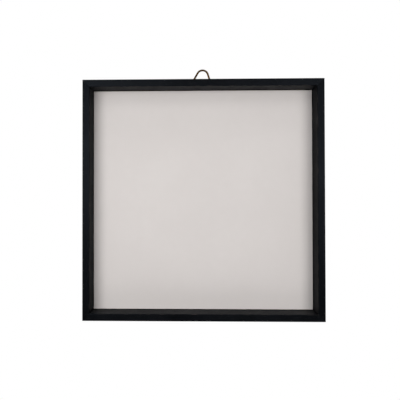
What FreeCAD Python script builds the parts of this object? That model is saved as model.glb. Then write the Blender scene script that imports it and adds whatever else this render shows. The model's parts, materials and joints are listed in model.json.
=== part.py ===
"""Open tray frame for floating a small artwork, with a hinged wire ring to hang it by.

Four mitred timber rails stand around a pale liner board. A hardboard back is screwed to their rear faces and
carries a strap hanger, whose rolled barrel holds a bent wire ring above the top rail.

Millimetres. +X is to the viewer's right, +Y runs from the open front to the wall and +Z is up. The origin is
the centre of the bottom rail's underside.
"""

import FreeCAD, Part
import math
import os
import re
import Sketcher

# Driving dimensions: alias, millimetres or degrees, and what the size is.
SIZES = [
    ("frame_width", 250.0, "outer width of the frame"),
    ("frame_height", 250.0, "outer height of the frame"),
    ("rail_face", 7.5, "width of a rail seen from the front"),
    ("rail_depth", 24.0, "depth of a rail from front to back"),
    ("corner_round", 0.6, "radius of the frame's four outer corners"),
    ("edge_ease", 0.5, "radius of a rail's long edges"),
    ("nail_setback", 2.6, "V-nail apex to each outer face"),
    ("nail_wing", 5.0, "length of a V-nail wing"),
    ("nail_gauge", 0.6, "thickness of a V-nail"),
    ("nail_height", 7.0, "height of one V-nail"),
    ("nail_sunk", 0.5, "depth of the last V-nail below the rear face"),
    ("nail_step", 0.2, "gap between stacked V-nails"),
    ("nail_fit", 0.02, "clearance around a V-nail in its slot"),
    ("back_thickness", 3.0, "thickness of the backboard"),
    ("back_inset", 1.0, "backboard edge to the frame's outer faces"),
    ("back_corner", 3.0, "radius of the backboard's corners"),
    ("back_ease", 0.3, "chamfer round the backboard's rear edge"),
    ("liner_thickness", 2.0, "thickness of the liner board"),
    ("liner_fit", 0.5, "gap between the liner and each rail"),
    ("tape_thickness", 0.25, "thickness of the liner tape"),
    ("tape_width", 12.0, "width of a strip of liner tape"),
    ("tape_inset", 15.0, "liner edge to the nearest tape edge"),
    ("screw_head", 2.0, "radius of a countersunk head"),
    ("screw_shank", 1.1, "radius of a screw's shank"),
    ("screw_length", 12.0, "length of a screw over its head"),
    ("screw_point", 2.0, "length of a screw's point"),
    ("screw_setback", 45.0, "backboard screw to the nearest outer corner"),
    ("recess_reach", 1.2, "half length of an arm of the cross recess"),
    ("recess_half", 0.3, "half width of an arm of the cross recess"),
    ("recess_depth", 0.7, "depth of the cross recess"),
    ("pilot_fit", 0.02, "clearance of a shank in its pilot hole"),
    ("pilot_spare", 0.5, "depth of a pilot hole past the screw's point"),
    ("hole_fit", 0.2, "clearance of a shank in the board it passes"),
    ("sink_fit", 0.05, "clearance of a head in its countersink"),
    ("hanger_shift", -0.9, "hanger's middle to the frame's middle, along X"),
    ("strap_width", 26.0, "width of the hanger's strap"),
    ("strap_height", 5.4, "height of the hanger's strap"),
    ("strap_gauge", 0.8, "thickness of the hanger's sheet"),
    ("strap_holes", 17.0, "distance between the strap's two holes"),
    ("barrel_width", 8.0, "width of the rolled barrel"),
    ("barrel_rise", 2.0, "barrel axis above the top rail"),
    ("roll_offset", 0.2, "barrel's slit to the face of its tongue"),
    ("roll_gap", 0.3, "width of the barrel's slit"),
    ("wire_radius", 1.0, "radius of the ring's wire"),
    ("wire_fit", 0.05, "clearance of the wire in the barrel"),
    ("wire_gap", 0.3, "gap between the wire's ends, inside the barrel"),
    ("ring_height", 13.7, "bar to crown of the ring, on the wire's centre"),
    ("ring_crown", 6.0, "radius of the ring's crown"),
    ("ring_corner", 2.5, "radius of the ring's lower corners"),
    ("crown_shift", 1.25, "crown's middle to the barrel's middle, along X"),
    ("left_lean", 30.0, "left leg from upright, in degrees"),
    ("right_lean", 18.0, "right leg from upright, in degrees"),
    ("bumper_radius", 5.0, "radius of a wall bumper"),
    ("bumper_height", 4.0, "height of a wall bumper"),
    ("bumper_round", 1.2, "radius of a bumper's outer edge"),
    ("bumper_setback", 14.0, "bumper's middle to the frame's outer faces"),
]
ALIASES = re.compile(r"\b(" + "|".join(alias for alias, _, _ in SIZES) + r")\b")

# Places worked out from the driving dimensions.
BORE = "(wire_radius + wire_fit)"
BARREL = f"({BORE} + strap_gauge)"
REAR = "(rail_depth / 2 + back_thickness)"
# The screws stand midway across the strip where the backboard laps a rail.
ROW = "((back_inset + rail_face) / 2)"
LINER_FRONT = "(rail_depth / 2 - tape_thickness - liner_thickness)"
LINER_HALF_WIDTH = "(frame_width / 2 - rail_face - liner_fit)"
LINER_HALF_HEIGHT = "(frame_height / 2 - rail_face - liner_fit)"

# Turning the bottom rail about +Y by these angles carries it to each side of the frame in turn.
# Each side also has its length, then the place of its middle on the outline, as formulas.
SIDES = {
    "bottom": (0, "frame_width", "0", "0"),
    "right": (-90, "frame_height", "frame_width / 2", "frame_height / 2"),
    "top": (180, "frame_width", "0", "frame_height"),
    "left": (90, "frame_height", "-frame_width / 2", "frame_height / 2"),
}
# The corner where each side starts, and the direction in which that side then runs along X and Z.
CORNERS = {
    "bottom_left": ("bottom", "-frame_width / 2", "0", 1, 0),
    "bottom_right": ("right", "frame_width / 2", "0", 0, 1),
    "top_right": ("top", "frame_width / 2", "frame_height", -1, 0),
    "top_left": ("left", "-frame_width / 2", "frame_height", 0, -1),
}

doc = FreeCAD.newDocument("floating_frame")
sheet = doc.addObject("Spreadsheet::Sheet", "Sizes")
for row, (alias, value, note) in enumerate(SIZES, start=1):
    sheet.set(f"A{row}", note)
    sheet.set(f"B{row}", str(value))
    sheet.setAlias(f"B{row}", alias)
doc.recompute()
nodes = []


def formula(text):
    """Write a formula of size names as an expression that reads the sheet."""
    return ALIASES.sub(r"Sizes.\1", text)


def number(text):
    """Value of a formula at the sheet's present sizes."""
    value = sheet.evalExpression(formula(text))
    return float(getattr(value, "Value", value))


def piece(name, x="0", y="0", z="0", turn=None):
    """Start one piece of the frame: a body whose origin sits at a place given by formulas."""
    body = doc.addObject("PartDesign::Body", name)
    body.Label = name
    body.AllowCompound = True
    body.Placement = FreeCAD.Placement(FreeCAD.Vector(), turn or FreeCAD.Rotation())
    for axis, text in (("x", x), ("y", y), ("z", z)):
        body.setExpression(f"Placement.Base.{axis}", formula(text))
    nodes.append(body)
    return body


def about_y(angle):
    """Turn about +Y, in degrees."""
    return FreeCAD.Rotation(FreeCAD.Vector(0, 1, 0), angle)


def sketch(body, name, role, offset="0"):
    """Start a sketch on one of the body's own origin planes, moved along the plane's normal."""
    drawn = body.newObject("Sketcher::SketchObject", f"{body.Name}_{name}")
    plane = next(item for item in body.Origin.OriginFeatures if item.Role == role)
    drawn.AttachmentSupport = [(plane, "")]
    drawn.MapMode = "FlatFace"
    drawn.setExpression("AttachmentOffset.Base.z", formula(offset))
    return drawn


def bind(drawn, constraint, text):
    """Add a dimensional constraint and bind it to a formula."""
    index = drawn.addConstraint(constraint)
    drawn.setExpression(f"Constraints[{index}]", formula(text))


def pin(drawn, edge, end, x, y):
    """Fix one end of an edge, or a circle's centre, at a place given by formulas."""
    for kind, text in (("DistanceX", x), ("DistanceY", y)):
        bind(drawn, Sketcher.Constraint(kind, -1, 1, edge, end, number(text)), text)


def outline(drawn, corners, closed=True):
    """Draw an anticlockwise outline. A corner with a third formula starts an arc of that radius."""
    places = [FreeCAD.Vector(number(x), number(y), 0) for x, y, *_ in corners]
    first = drawn.GeometryCount
    edges = len(corners) if closed else len(corners) - 1
    for index in range(edges):
        start, end = places[index], places[(index + 1) % len(places)]
        if len(corners[index]) == 2:
            drawn.addGeometry(Part.LineSegment(start, end))
            continue
        radius = number(corners[index][2])
        chord = end - start
        inward = FreeCAD.Vector(-chord.y, chord.x, 0).normalize()
        centre = (start + end) / 2 + inward * math.sqrt(max(radius**2 - chord.Length**2 / 4, 0))
        angles = [math.atan2(point.y - centre.y, point.x - centre.x) for point in (start, end)]
        circle = Part.Circle(centre, FreeCAD.Vector(0, 0, 1), radius)
        drawn.addGeometry(Part.ArcOfCircle(circle, *angles))
        bind(drawn, Sketcher.Constraint("Radius", first + index, radius), corners[index][2])
    for index in range(edges):
        pin(drawn, first + index, 1, *corners[index][:2])
        if index + 1 < edges or closed:
            following = first + (index + 1) % edges
            drawn.addConstraint(Sketcher.Constraint("Coincident", first + index, 2, following, 1))
    if not closed:
        pin(drawn, first + edges - 1, 2, *corners[-1])


def circle(drawn, x, y, radius):
    """Draw a circle with its centre and radius given by formulas."""
    edge = drawn.addGeometry(Part.Circle(FreeCAD.Vector(number(x), number(y), 0), FreeCAD.Vector(0, 0, 1),
                                         number(radius)))
    pin(drawn, edge, 3, x, y)
    bind(drawn, Sketcher.Constraint("Radius", edge, number(radius)), radius)


def rectangle(drawn, low_x, low_y, high_x, high_y):
    """Draw a rectangle between two opposite corners."""
    outline(drawn, [(low_x, low_y), (high_x, low_y), (high_x, high_y), (low_x, high_y)])


def rounded(drawn, half_x, half_y, radius):
    """Draw a rectangle with rounded corners, centred on the sketch's origin."""
    straight_x, straight_y = f"({half_x} - {radius})", f"({half_y} - {radius})"
    outline(drawn, [
        (f"-{straight_x}", f"-{half_y}"), (straight_x, f"-{half_y}", radius),
        (half_x, f"-{straight_y}"), (half_x, straight_y, radius),
        (straight_x, half_y), (f"-{straight_x}", half_y, radius),
        (f"-{half_x}", straight_y), (f"-{half_x}", f"-{straight_y}", radius),
    ])


def pad(body, drawn, length, reverse=False, middle=False):
    """Raise a sketch into a solid."""
    made = body.newObject("PartDesign::Pad", f"{drawn.Name}_pad")
    made.Profile = drawn
    made.setExpression("Length", formula(length))
    made.Reversed = reverse
    made.SideType = "Symmetric" if middle else "One side"
    doc.recompute()
    return made


def pocket(body, drawn, length, reverse=False, middle=False, taper=0):
    """Cut a sketch into the body, and stop if nothing came away."""
    before = body.Shape.Volume
    made = body.newObject("PartDesign::Pocket", f"{drawn.Name}_cut")
    made.Profile = drawn
    made.setExpression("Length", formula(length))
    made.Reversed = reverse
    made.SideType = "Symmetric" if middle else "One side"
    made.TaperAngle = taper
    doc.recompute()
    if not body.Shape.Volume < before:
        raise RuntimeError(f"{made.Name} cuts nothing")
    return made


def dressed(body, kind, size, chosen):
    """Fillet or chamfer the edges that a test picks out of the body's present shape."""
    tip = body.Tip
    names = [f"Edge{index}" for index, edge in enumerate(tip.Shape.Edges, start=1) if chosen(edge)]
    made = body.newObject(f"PartDesign::{kind}", f"{body.Name}_{kind.lower()}")
    made.Base = (tip, names)
    made.setExpression("Radius" if kind == "Fillet" else "Size", formula(size))
    doc.recompute()
    return made


def pattern(body, originals, axis, length, count=2):
    """Repeat features in a row along an axis of a sketch, over a length."""
    made = body.newObject("PartDesign::LinearPattern", f"{body.Name}_row")
    made.Originals = originals
    made.Direction = axis
    made.setExpression("Length", formula(length))
    made.Occurrences = count
    body.Tip = made
    doc.recompute()
    return made


def lies_at(edge, axis, text):
    """Whether every vertex of an edge has one coordinate at a formula's value."""
    place = number(text)
    return all(abs(getattr(vertex.Point, axis) - place) < 1e-4 for vertex in edge.Vertexes)


def is_round(edge, radius):
    """Whether an edge is a full circle of a formula's radius."""
    curve = edge.Curve
    return isinstance(curve, Part.Circle) and edge.Closed and abs(curve.Radius - number(radius)) < 1e-4


# ---- Rails ----------------------------------------------------------------------------------------------

def rail(side):
    """One mitred rail, drawn lying along X with its outer face down, then turned to its side."""
    angle, length, x, z = SIDES[side]
    body = piece(f"rail_{side}", x=x, z=z, turn=about_y(angle))
    half = f"{length} / 2"
    diagonal = "corner_round * (1 - cos(45))"
    section = sketch(body, "face", "XZ_Plane")
    outline(section, [
        (f"-({half} - corner_round)", "0"), (f"{half} - corner_round", "0", "corner_round"),
        (f"{half} - {diagonal}", diagonal), (f"{half} - rail_face", "rail_face"),
        (f"-({half} - rail_face)", "rail_face"), (f"-({half} - {diagonal})", diagonal, "corner_round"),
    ])
    pad(body, section, "rail_depth", middle=True)

    # The long arrises, front and back, stop at the mitre faces, which stay sharp.
    outer, inner = number(diagonal), number("rail_face")

    def along(edge):
        ends = [vertex.Point for vertex in edge.Vertexes]
        on_end_face = any(lies_at(edge, "y", text) for text in ("rail_depth / 2", "-rail_depth / 2"))
        outside = all(point.z < outer + 1e-4 for point in ends)
        inside = all(abs(point.z - inner) < 1e-4 for point in ends)
        return on_end_face and (outside or inside)

    dressed(body, "Fillet", "edge_ease", along)

    slots = sketch(body, "nail_slots", "XZ_Plane", "-rail_depth / 2")
    half_slot = "(nail_gauge / 2 + nail_fit)"
    for start, end in ((f"{half} - nail_setback - nail_wing - nail_fit", f"{half} - nail_setback + {half_slot}"),
                       (f"-({half} - nail_setback + {half_slot})",
                        f"-({half} - nail_setback - nail_wing - nail_fit)")):
        rectangle(slots, start, f"nail_setback - {half_slot}", end, f"nail_setback + {half_slot}")
    pocket(body, slots, "nail_sunk + 2 * nail_height + nail_step + nail_fit", reverse=True)

    pilots = sketch(body, "pilots", "XZ_Plane", "-rail_depth / 2")
    for place in (f"{half} - screw_setback", f"-({half} - screw_setback)"):
        circle(pilots, place, ROW, "screw_shank + pilot_fit")
    pocket(body, pilots, "screw_length - back_thickness + pilot_spare", reverse=True)
    return body


def nails(corner):
    """Two V-nails stacked in one mitre, driven from the back, one wing in each rail."""
    side, x, z, _, _ = CORNERS[corner]
    body = piece(f"corner_nails_{corner}", x=x, z=z, turn=about_y(SIDES[side][0]))
    near, far = "nail_setback - nail_gauge / 2", "nail_setback + nail_gauge / 2"
    tip = "nail_setback + nail_wing"
    section = sketch(body, "section", "XZ_Plane", "-(rail_depth / 2 - nail_sunk)")
    outline(section, [(near, near), (tip, near), (tip, far), (far, far), (far, tip), (near, tip)])
    nail = pad(body, section, "nail_height")
    pattern(body, [nail], (section, ["N_Axis"]), "nail_height + nail_step")


# ---- Boards ---------------------------------------------------------------------------------------------

def backboard():
    """Hardboard back on the rails' rear faces, with countersunk holes for its screws."""
    body = piece("backboard", y="rail_depth / 2", z="frame_height / 2")
    face = sketch(body, "face", "XZ_Plane")
    half_width, half_height = "(frame_width / 2 - back_inset)", "(frame_height / 2 - back_inset)"
    rounded(face, half_width, half_height, "back_corner")
    pad(body, face, "back_thickness", reverse=True)
    dressed(body, "Chamfer", "back_ease", lambda edge: lies_at(edge, "y", "back_thickness"))

    holes = sketch(body, "holes", "XZ_Plane")
    reach_x, reach_z = f"(frame_width / 2 - {ROW})", f"(frame_height / 2 - {ROW})"
    along_x, along_z = "(frame_width / 2 - screw_setback)", "(frame_height / 2 - screw_setback)"
    radius = "screw_shank + hole_fit"
    for sign in ("", "-"):
        for other in ("", "-"):
            circle(holes, f"{sign}{along_x}", f"{other}{reach_z}", radius)
            circle(holes, f"{sign}{reach_x}", f"{other}{along_z}", radius)
    pocket(body, holes, "back_thickness")
    dressed(body, "Chamfer", "screw_head + sink_fit - screw_shank - hole_fit",
            lambda edge: is_round(edge, radius) and lies_at(edge, "y", "back_thickness"))

    strap = sketch(body, "strap_holes", "XZ_Plane")
    for sign in ("", "-"):
        circle(strap, f"hanger_shift + {sign}strap_holes / 2", reach_z, radius)
    pocket(body, strap, "back_thickness")


def liner():
    """Pale board that fills the tray and carries the artwork, held by strips of tape."""
    body = piece("liner_board", y=LINER_FRONT, z="frame_height / 2")
    face = sketch(body, "face", "XZ_Plane")
    rectangle(face, f"-{LINER_HALF_WIDTH}", f"-{LINER_HALF_HEIGHT}", LINER_HALF_WIDTH, LINER_HALF_HEIGHT)
    pad(body, face, "liner_thickness", reverse=True)

    tape = piece("liner_tape", x=f"-{LINER_HALF_WIDTH} + tape_inset", z="frame_height / 2",
                 y="rail_depth / 2 - tape_thickness")
    strip = sketch(tape, "strip", "XZ_Plane")
    half_strip = f"({LINER_HALF_HEIGHT} - tape_inset)"
    rectangle(strip, "0", f"-{half_strip}", "tape_width", half_strip)
    first = pad(tape, strip, "tape_thickness", reverse=True)
    pattern(tape, [first], (strip, ["H_Axis"]), f"2 * ({LINER_HALF_WIDTH} - tape_inset) - tape_width", count=3)


def bumpers():
    """Two soft stick-on bumpers that keep the frame's lower corners off the wall."""
    for side, sign in (("left", "-"), ("right", "")):
        body = piece(f"wall_bumper_{side}", x=f"{sign}(frame_width / 2 - bumper_setback)", y=REAR,
                     z="bumper_setback")
        face = sketch(body, "face", "XZ_Plane")
        circle(face, "0", "0", "bumper_radius")
        pad(body, face, "bumper_height", reverse=True)
        dressed(body, "Fillet", "bumper_round", lambda edge: lies_at(edge, "y", "bumper_height"))


# ---- Screws ---------------------------------------------------------------------------------------------

def screws(name, x, y, z, angle, spacing):
    """A pair of countersunk cross-recess screws, driven along -Y, the second one a spacing further on."""
    upright = FreeCAD.Rotation(FreeCAD.Vector(1, 0, 0), -90)
    body = piece(name, x=x, y=y, z=z, turn=about_y(angle).multiply(upright))
    neck = "-(screw_head - screw_shank)"
    half = sketch(body, "half", "XZ_Plane")
    outline(half, [("0", "-screw_length"), ("screw_shank", "screw_point - screw_length"),
                   ("screw_shank", neck), ("screw_head", "0"), ("0", "0")])
    turned = body.newObject("PartDesign::Revolution", f"{name}_turned")
    turned.Profile = half
    turned.ReferenceAxis = (half, ["V_Axis"])
    turned.Angle = 360
    doc.recompute()

    cross = sketch(body, "cross", "XY_Plane")
    arm = [("recess_half", "-recess_reach"), ("recess_half", "-recess_half"), ("recess_reach", "-recess_half"),
           ("recess_reach", "recess_half"), ("recess_half", "recess_half"), ("recess_half", "recess_reach")]
    opposite = [(f"-({across})", f"-({up})") for across, up in arm]
    outline(cross, arm + opposite)
    recess = pocket(body, cross, "recess_depth")
    pattern(body, [turned, recess], (cross, ["H_Axis"]), spacing)


# ---- Hanger ---------------------------------------------------------------------------------------------

def hanger():
    """Strap with a rolled barrel, its two screws, and the wire ring that turns in the barrel.

    The barrel's axis is the origin of the strap and of the ring. The strap lies flat on the backboard, and its
    tongue rises past the top rail into the barrel.
    """
    axis = {"x": "hanger_shift", "y": f"{REAR} + {BARREL}", "z": "frame_height + barrel_rise"}
    row_z = f"(barrel_rise + {ROW})"
    strap = piece("hanger_strap", **axis)
    face = sketch(strap, "face", "XZ_Plane", BORE)
    half, straight = "strap_height / 2", "(strap_width - strap_height) / 2"
    outline(face, [
        (f"-{straight}", f"-{row_z} - {half}"), (straight, f"-{row_z} - {half}", half),
        (f"{straight} + {half}", f"-{row_z}", half), (straight, f"-{row_z} + {half}"),
        (f"-{straight}", f"-{row_z} + {half}", half), (f"-({straight} + {half})", f"-{row_z}", half),
    ])
    pad(strap, face, "strap_gauge")
    tongue = sketch(strap, "tongue", "XZ_Plane", BORE)
    rectangle(tongue, "-barrel_width / 2", f"-{row_z}", "barrel_width / 2", "0")
    pad(strap, tongue, "strap_gauge")
    roll = sketch(strap, "roll", "YZ_Plane")
    circle(roll, "0", "0", BARREL)
    circle(roll, "0", "0", BORE)
    pad(strap, roll, "barrel_width", middle=True)
    slit = sketch(strap, "slit", "YZ_Plane")
    rectangle(slit, f"-{BORE} + roll_offset", f"-{BARREL}", f"-{BORE} + roll_offset + roll_gap", "0")
    pocket(strap, slit, "2 * barrel_width", middle=True)
    holes = sketch(strap, "holes", "XZ_Plane", BORE)
    for sign in ("", "-"):
        circle(holes, f"{sign}strap_holes / 2", f"-{row_z}", "screw_head + sink_fit")
    pocket(strap, holes, "strap_gauge", reverse=True, taper=-45)

    pilots = sketch(rails["top"], "strap_pilots", "XZ_Plane", "-rail_depth / 2")
    for sign in ("", "-"):
        circle(pilots, f"-hanger_shift + {sign}strap_holes / 2", ROW, "screw_shank + pilot_fit")
    pocket(rails["top"], pilots, "screw_length - strap_gauge - back_thickness + pilot_spare", reverse=True)
    screws("screws_hanger", "hanger_shift - strap_holes / 2", f"{REAR} + strap_gauge",
           f"frame_height - {ROW}", 0, "strap_holes")

    ring(axis)


def ring(axis):
    """Wire ring: a bar in the barrel, two leaning legs and a round crown. The wire's ends meet in the barrel."""
    body = piece("hanging_ring", **axis)
    crown_z = "(ring_height - ring_crown)"

    def leg(sign, lean):
        """Crown tangent, leg tangent and corner of one leg, as pairs of formulas. Sign is -1 on the left."""
        out = f"{sign} * cos({lean})"
        inset = "(ring_crown - ring_corner)"
        corner = (f"(crown_shift + {out} * {inset}"
                  f" - {sign} * (ring_corner - {crown_z} - {inset} * sin({lean})) * tan({lean}))")
        crown_end = (f"crown_shift + {out} * ring_crown", f"{crown_z} + ring_crown * sin({lean})")
        leg_end = (f"{corner} + {out} * ring_corner", f"ring_corner * (1 + sin({lean}))")
        return crown_end, leg_end, (corner, "0")

    right_crown, right_leg, right_corner = leg("1", "right_lean")
    left_crown, left_leg, left_corner = leg("-1", "left_lean")
    path = sketch(body, "path", "XZ_Plane")
    outline(path, [
        ("wire_gap / 2", "0"), (*right_corner, "ring_corner"), right_leg, (*right_crown, "ring_crown"),
        left_crown, (*left_leg, "ring_corner"), left_corner, ("-wire_gap / 2", "0"),
    ], closed=False)
    section = sketch(body, "section", "YZ_Plane", "wire_gap / 2")
    circle(section, "0", "0", "wire_radius")
    wire = body.newObject("PartDesign::AdditivePipe", "hanging_ring_wire")
    wire.Profile = section
    wire.Spine = (path, [f"Edge{index + 1}" for index in range(path.GeometryCount)])
    doc.recompute()


rails = {side: rail(side) for side in SIDES}
for corner in CORNERS:
    nails(corner)
backboard()
liner()
for side, x, z, step_x, step_z in CORNERS.values():
    turn_angle, side_length, _, _ = SIDES[side]
    # A side's screws stand to the left of the way it runs.
    screws(f"screws_{side}",
           f"{x} + ({step_x}) * screw_setback - ({step_z}) * {ROW}",
           REAR,
           f"{z} + ({step_z}) * screw_setback + ({step_x}) * {ROW}",
           turn_angle, f"{side_length} - 2 * screw_setback")
hanger()
bumpers()
doc.recompute()

for item in doc.Objects:
    if {"Invalid", "Error"} & set(item.State):
        raise RuntimeError(f"{item.Name} failed: {item.State}")
os.makedirs("parts", exist_ok=True)
for body in nodes:
    if body.Shape.isNull() or not body.Shape.isValid() or not body.Shape.Solids:
        raise RuntimeError(f"{body.Label} has no valid solid")
for body in nodes:
    body.Shape.exportStep(os.path.join("parts", f"{body.Label}.step"))
print(f"{len(nodes)} nodes, {sum(len(body.Shape.Solids) for body in nodes)} solids")
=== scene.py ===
"""Studio scene for a floating frame: a deep tray of slim satin black rails with a wire hanging ring.

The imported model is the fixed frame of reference. Each sub-assembly below is a class that models its own
pieces in the CAD nodes' places and dresses them, and each finish is a frozen dataclass that makes one
material. Everything is in metres: +X to the viewer's right, +Y from the open front to the wall, +Z up.
"""

from __future__ import annotations

import json
import logging
import math
from collections.abc import Callable, Iterator
from contextlib import contextmanager
from dataclasses import dataclass, field, replace
from enum import Enum

import bmesh
import bpy
from mathutils import Matrix, Vector

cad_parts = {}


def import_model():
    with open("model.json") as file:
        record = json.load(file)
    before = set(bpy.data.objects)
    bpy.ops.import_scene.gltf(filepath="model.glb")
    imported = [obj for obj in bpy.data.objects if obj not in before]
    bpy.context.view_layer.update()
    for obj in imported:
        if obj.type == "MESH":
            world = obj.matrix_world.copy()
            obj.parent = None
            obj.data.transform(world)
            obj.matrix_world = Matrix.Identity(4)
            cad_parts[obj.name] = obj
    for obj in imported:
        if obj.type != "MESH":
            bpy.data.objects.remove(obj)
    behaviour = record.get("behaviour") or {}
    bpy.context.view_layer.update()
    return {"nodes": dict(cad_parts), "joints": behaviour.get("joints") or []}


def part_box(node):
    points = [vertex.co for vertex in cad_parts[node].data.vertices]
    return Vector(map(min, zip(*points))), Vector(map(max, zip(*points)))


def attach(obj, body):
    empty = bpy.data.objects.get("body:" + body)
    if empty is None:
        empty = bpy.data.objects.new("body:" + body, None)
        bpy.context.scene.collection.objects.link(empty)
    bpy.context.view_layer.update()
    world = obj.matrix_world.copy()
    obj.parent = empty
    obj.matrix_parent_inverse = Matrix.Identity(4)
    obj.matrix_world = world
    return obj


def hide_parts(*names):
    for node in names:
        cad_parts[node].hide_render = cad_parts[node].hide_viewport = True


Socket = bpy.types.NodeSocket

log = logging.getLogger("floating_frame")

MM = 0.001

# How near a place has to be to a plane to count as lying on it, and two vertices to be merged.
TOUCH = 0.01 * MM
MERGE = TOUCH / 10

# How much of a face's normal lies along an axis when the face counts as facing that way.
FACING = 0.99


class Body(Enum):
    """The rigid bodies of the frame."""

    FRAME = "frame"
    RING = "ring"


class Side(Enum):
    """The frame's four sides, each with the direction from the frame's middle to it."""

    BOTTOM = (0, -1)
    RIGHT = (1, 0)
    TOP = (0, 1)
    LEFT = (-1, 0)

    @property
    def node(self) -> str:
        """Name of the side's rail."""
        return f"rail_{self.name.lower()}"

    @property
    def away(self) -> Vector:
        """Direction from the frame's middle to the side."""
        return Vector((self.value[0], 0.0, self.value[1]))

    @property
    def upright(self) -> bool:
        """Whether the side's rail stands upright."""
        return self in (Side.LEFT, Side.RIGHT)


class Part(Enum):
    """What an operator works on in edit mode."""

    EDGE = "edges"
    FACE = "faces"


# ---- Node graphs ----

# First input, second input and output of a Mix node, by what it mixes.
MIX_SOCKETS = {"FLOAT": (2, 3, 0), "RGBA": (6, 7, 2)}


class Graph:
    """Adds nodes to one tree and links them as they are made."""

    def __init__(self, tree: bpy.types.NodeTree) -> None:
        """Work on the node tree of a material, a group or the world."""
        self.tree = tree

    def feed(self, socket: Socket, value: object) -> None:
        """Give an input a value, or link it to an output.

        Args:
            socket: The input.
            value: A number, a vector, a colour or an output socket.
        """
        if isinstance(value, Socket):
            self.tree.links.new(value, socket)
        else:
            socket.default_value = value

    def node(self, kind: str, inputs: dict | None = None, **settings: object) -> bpy.types.Node:
        """Add a node.

        Args:
            kind: The node's type name.
            inputs: What feeds each input, by name or index.
            **settings: The node's own properties.

        Returns:
            The new node.
        """
        made = self.tree.nodes.new(kind)
        for name, value in settings.items():
            setattr(made, name, value)
        for key, value in (inputs or {}).items():
            self.feed(made.inputs[key], value)
        return made

    def math(self, operation: str, *values: object) -> Socket:
        """Add a Math node over its operands, and give its result."""
        return self.node("ShaderNodeMath", dict(enumerate(values)), operation=operation).outputs[0]

    def stretch(self, position: object, along: tuple[float, float, float]) -> Socket:
        """Scale a position by a factor along each axis."""
        made = self.node("ShaderNodeVectorMath", {0: position, 1: along}, operation="MULTIPLY")
        return made.outputs[0]

    def spread(self, value: object, low: float, high: float, to: tuple[float, float] = (0.0, 1.0),
               smooth: bool = True) -> Socket:
        """Map a range of values onto another.

        Args:
            value: The value to map.
            low: Where the range starts.
            high: Where the range ends.
            to: The results at its start and its end.
            smooth: Whether the change eases in and out.

        Returns:
            The mapped value.
        """
        inputs = {"Value": value, "From Min": low, "From Max": high, "To Min": to[0], "To Max": to[1]}
        kind = "SMOOTHSTEP" if smooth else "LINEAR"
        return self.node("ShaderNodeMapRange", inputs, interpolation_type=kind).outputs["Result"]

    def mix(self, factor: object, first: object, second: object,
            kind: str = "RGBA") -> Socket:
        """Mix two colours or two numbers.

        Args:
            factor: How much of the second shows.
            first: The first colour or number.
            second: The second.
            kind: RGBA or FLOAT.

        Returns:
            The mixture.
        """
        one, two, out = MIX_SOCKETS[kind]
        inputs = {0: factor, one: first, two: second}
        return self.node("ShaderNodeMix", inputs, data_type=kind).outputs[out]

    def noise(self, position: object, scale: object, detail: float = 3.0, rough: float = 0.5,
              warp: float = 0.0) -> Socket:
        """Add a noise texture.

        Args:
            position: Where it is read.
            scale: Its cells per metre.
            detail: Its octaves.
            rough: How strong the finer octaves are.
            warp: How far it is distorted.

        Returns:
            The noise, around a half.
        """
        inputs = {"Vector": position, "Scale": scale, "Detail": detail, "Roughness": rough,
                  "Distortion": warp}
        return self.node("ShaderNodeTexNoise", inputs).outputs[0]

    def effect(self, name: str, **inputs: object) -> bpy.types.Node:
        """Place a shared effect.

        Args:
            name: The node group's name.
            **inputs: What feeds its inputs, with underscores for spaces.

        Returns:
            The group node.
        """
        made = self.node("ShaderNodeGroup", node_tree=bpy.data.node_groups[name])
        for key, value in inputs.items():
            self.feed(made.inputs[key.replace("_", " ")], value)
        return made


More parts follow.
